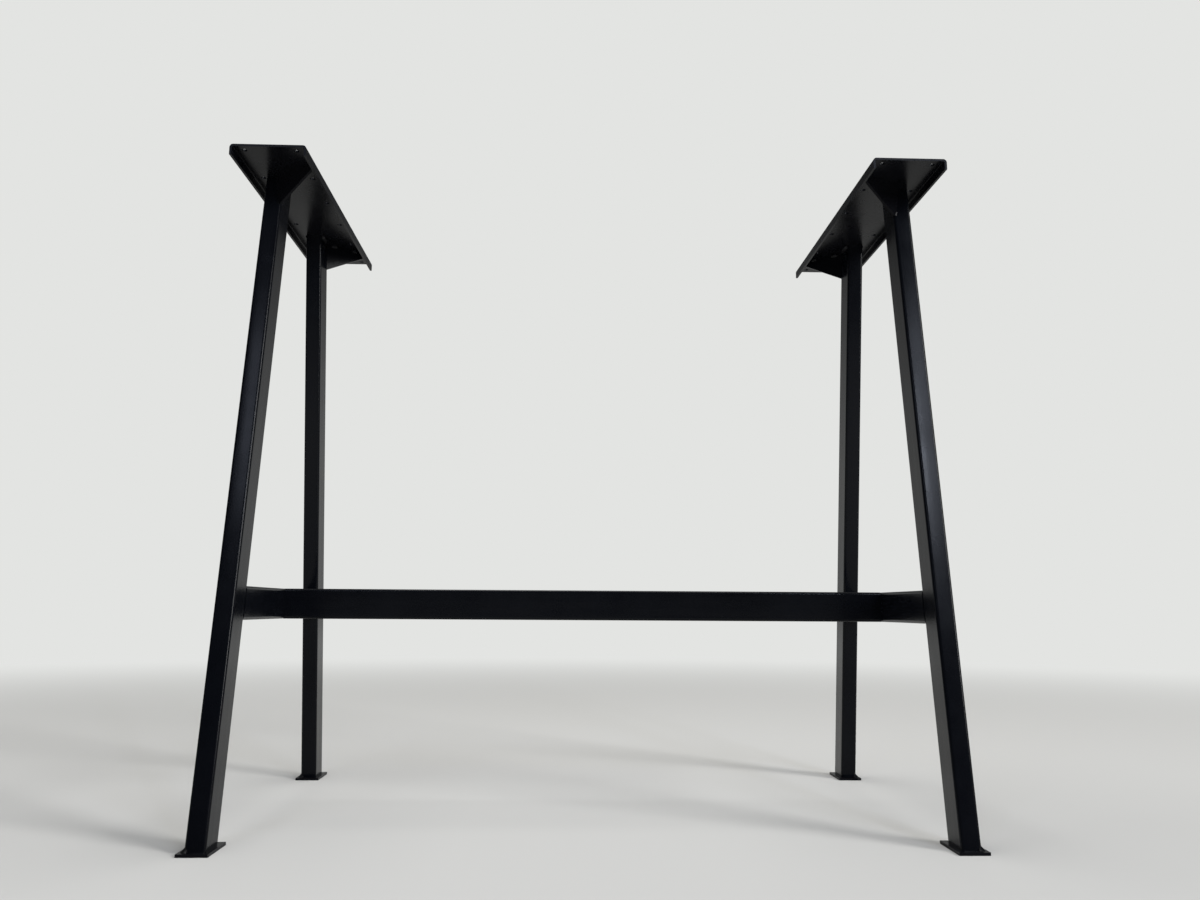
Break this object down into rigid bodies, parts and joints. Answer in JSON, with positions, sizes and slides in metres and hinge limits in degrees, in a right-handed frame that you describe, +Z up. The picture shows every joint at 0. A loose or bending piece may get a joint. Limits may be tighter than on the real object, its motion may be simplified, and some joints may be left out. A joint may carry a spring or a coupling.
{
  "type": "table base",
  "caption": "Free-standing welded steel table base: drilled top channels on splayed tube legs with foot plates, diagonal gussets, low side rails and a stretcher.",
  "frame": {"origin": "on the floor at the middle of the base", "axes": "+X across the base to its right as seen from the front, +Y from front to rear, +Z up"},
  "size_m": [0.782, 0.464, 0.72],
  "materials": {
    "black_powder_coat": "semi-gloss black powder coat"
  },
  "bodies": {
    "root": {"top_channel_left": "black_powder_coat", "top_channel_right": "black_powder_coat", "side_rail_left": "black_powder_coat", "side_rail_right": "black_powder_coat", "stretcher": "black_powder_coat", "leg_front_left": "black_powder_coat", "leg_front_right": "black_powder_coat", "leg_rear_left": "black_powder_coat", "leg_rear_right": "black_powder_coat", "foot_plate_front_left": "black_powder_coat", "foot_plate_front_right": "black_powder_coat", "foot_plate_rear_left": "black_powder_coat", "foot_plate_rear_right": "black_powder_coat", "gusset_front_left": "black_powder_coat", "gusset_front_right": "black_powder_coat", "gusset_rear_left": "black_powder_coat", "gusset_rear_right": "black_powder_coat"}
  },
  "joints": []
}
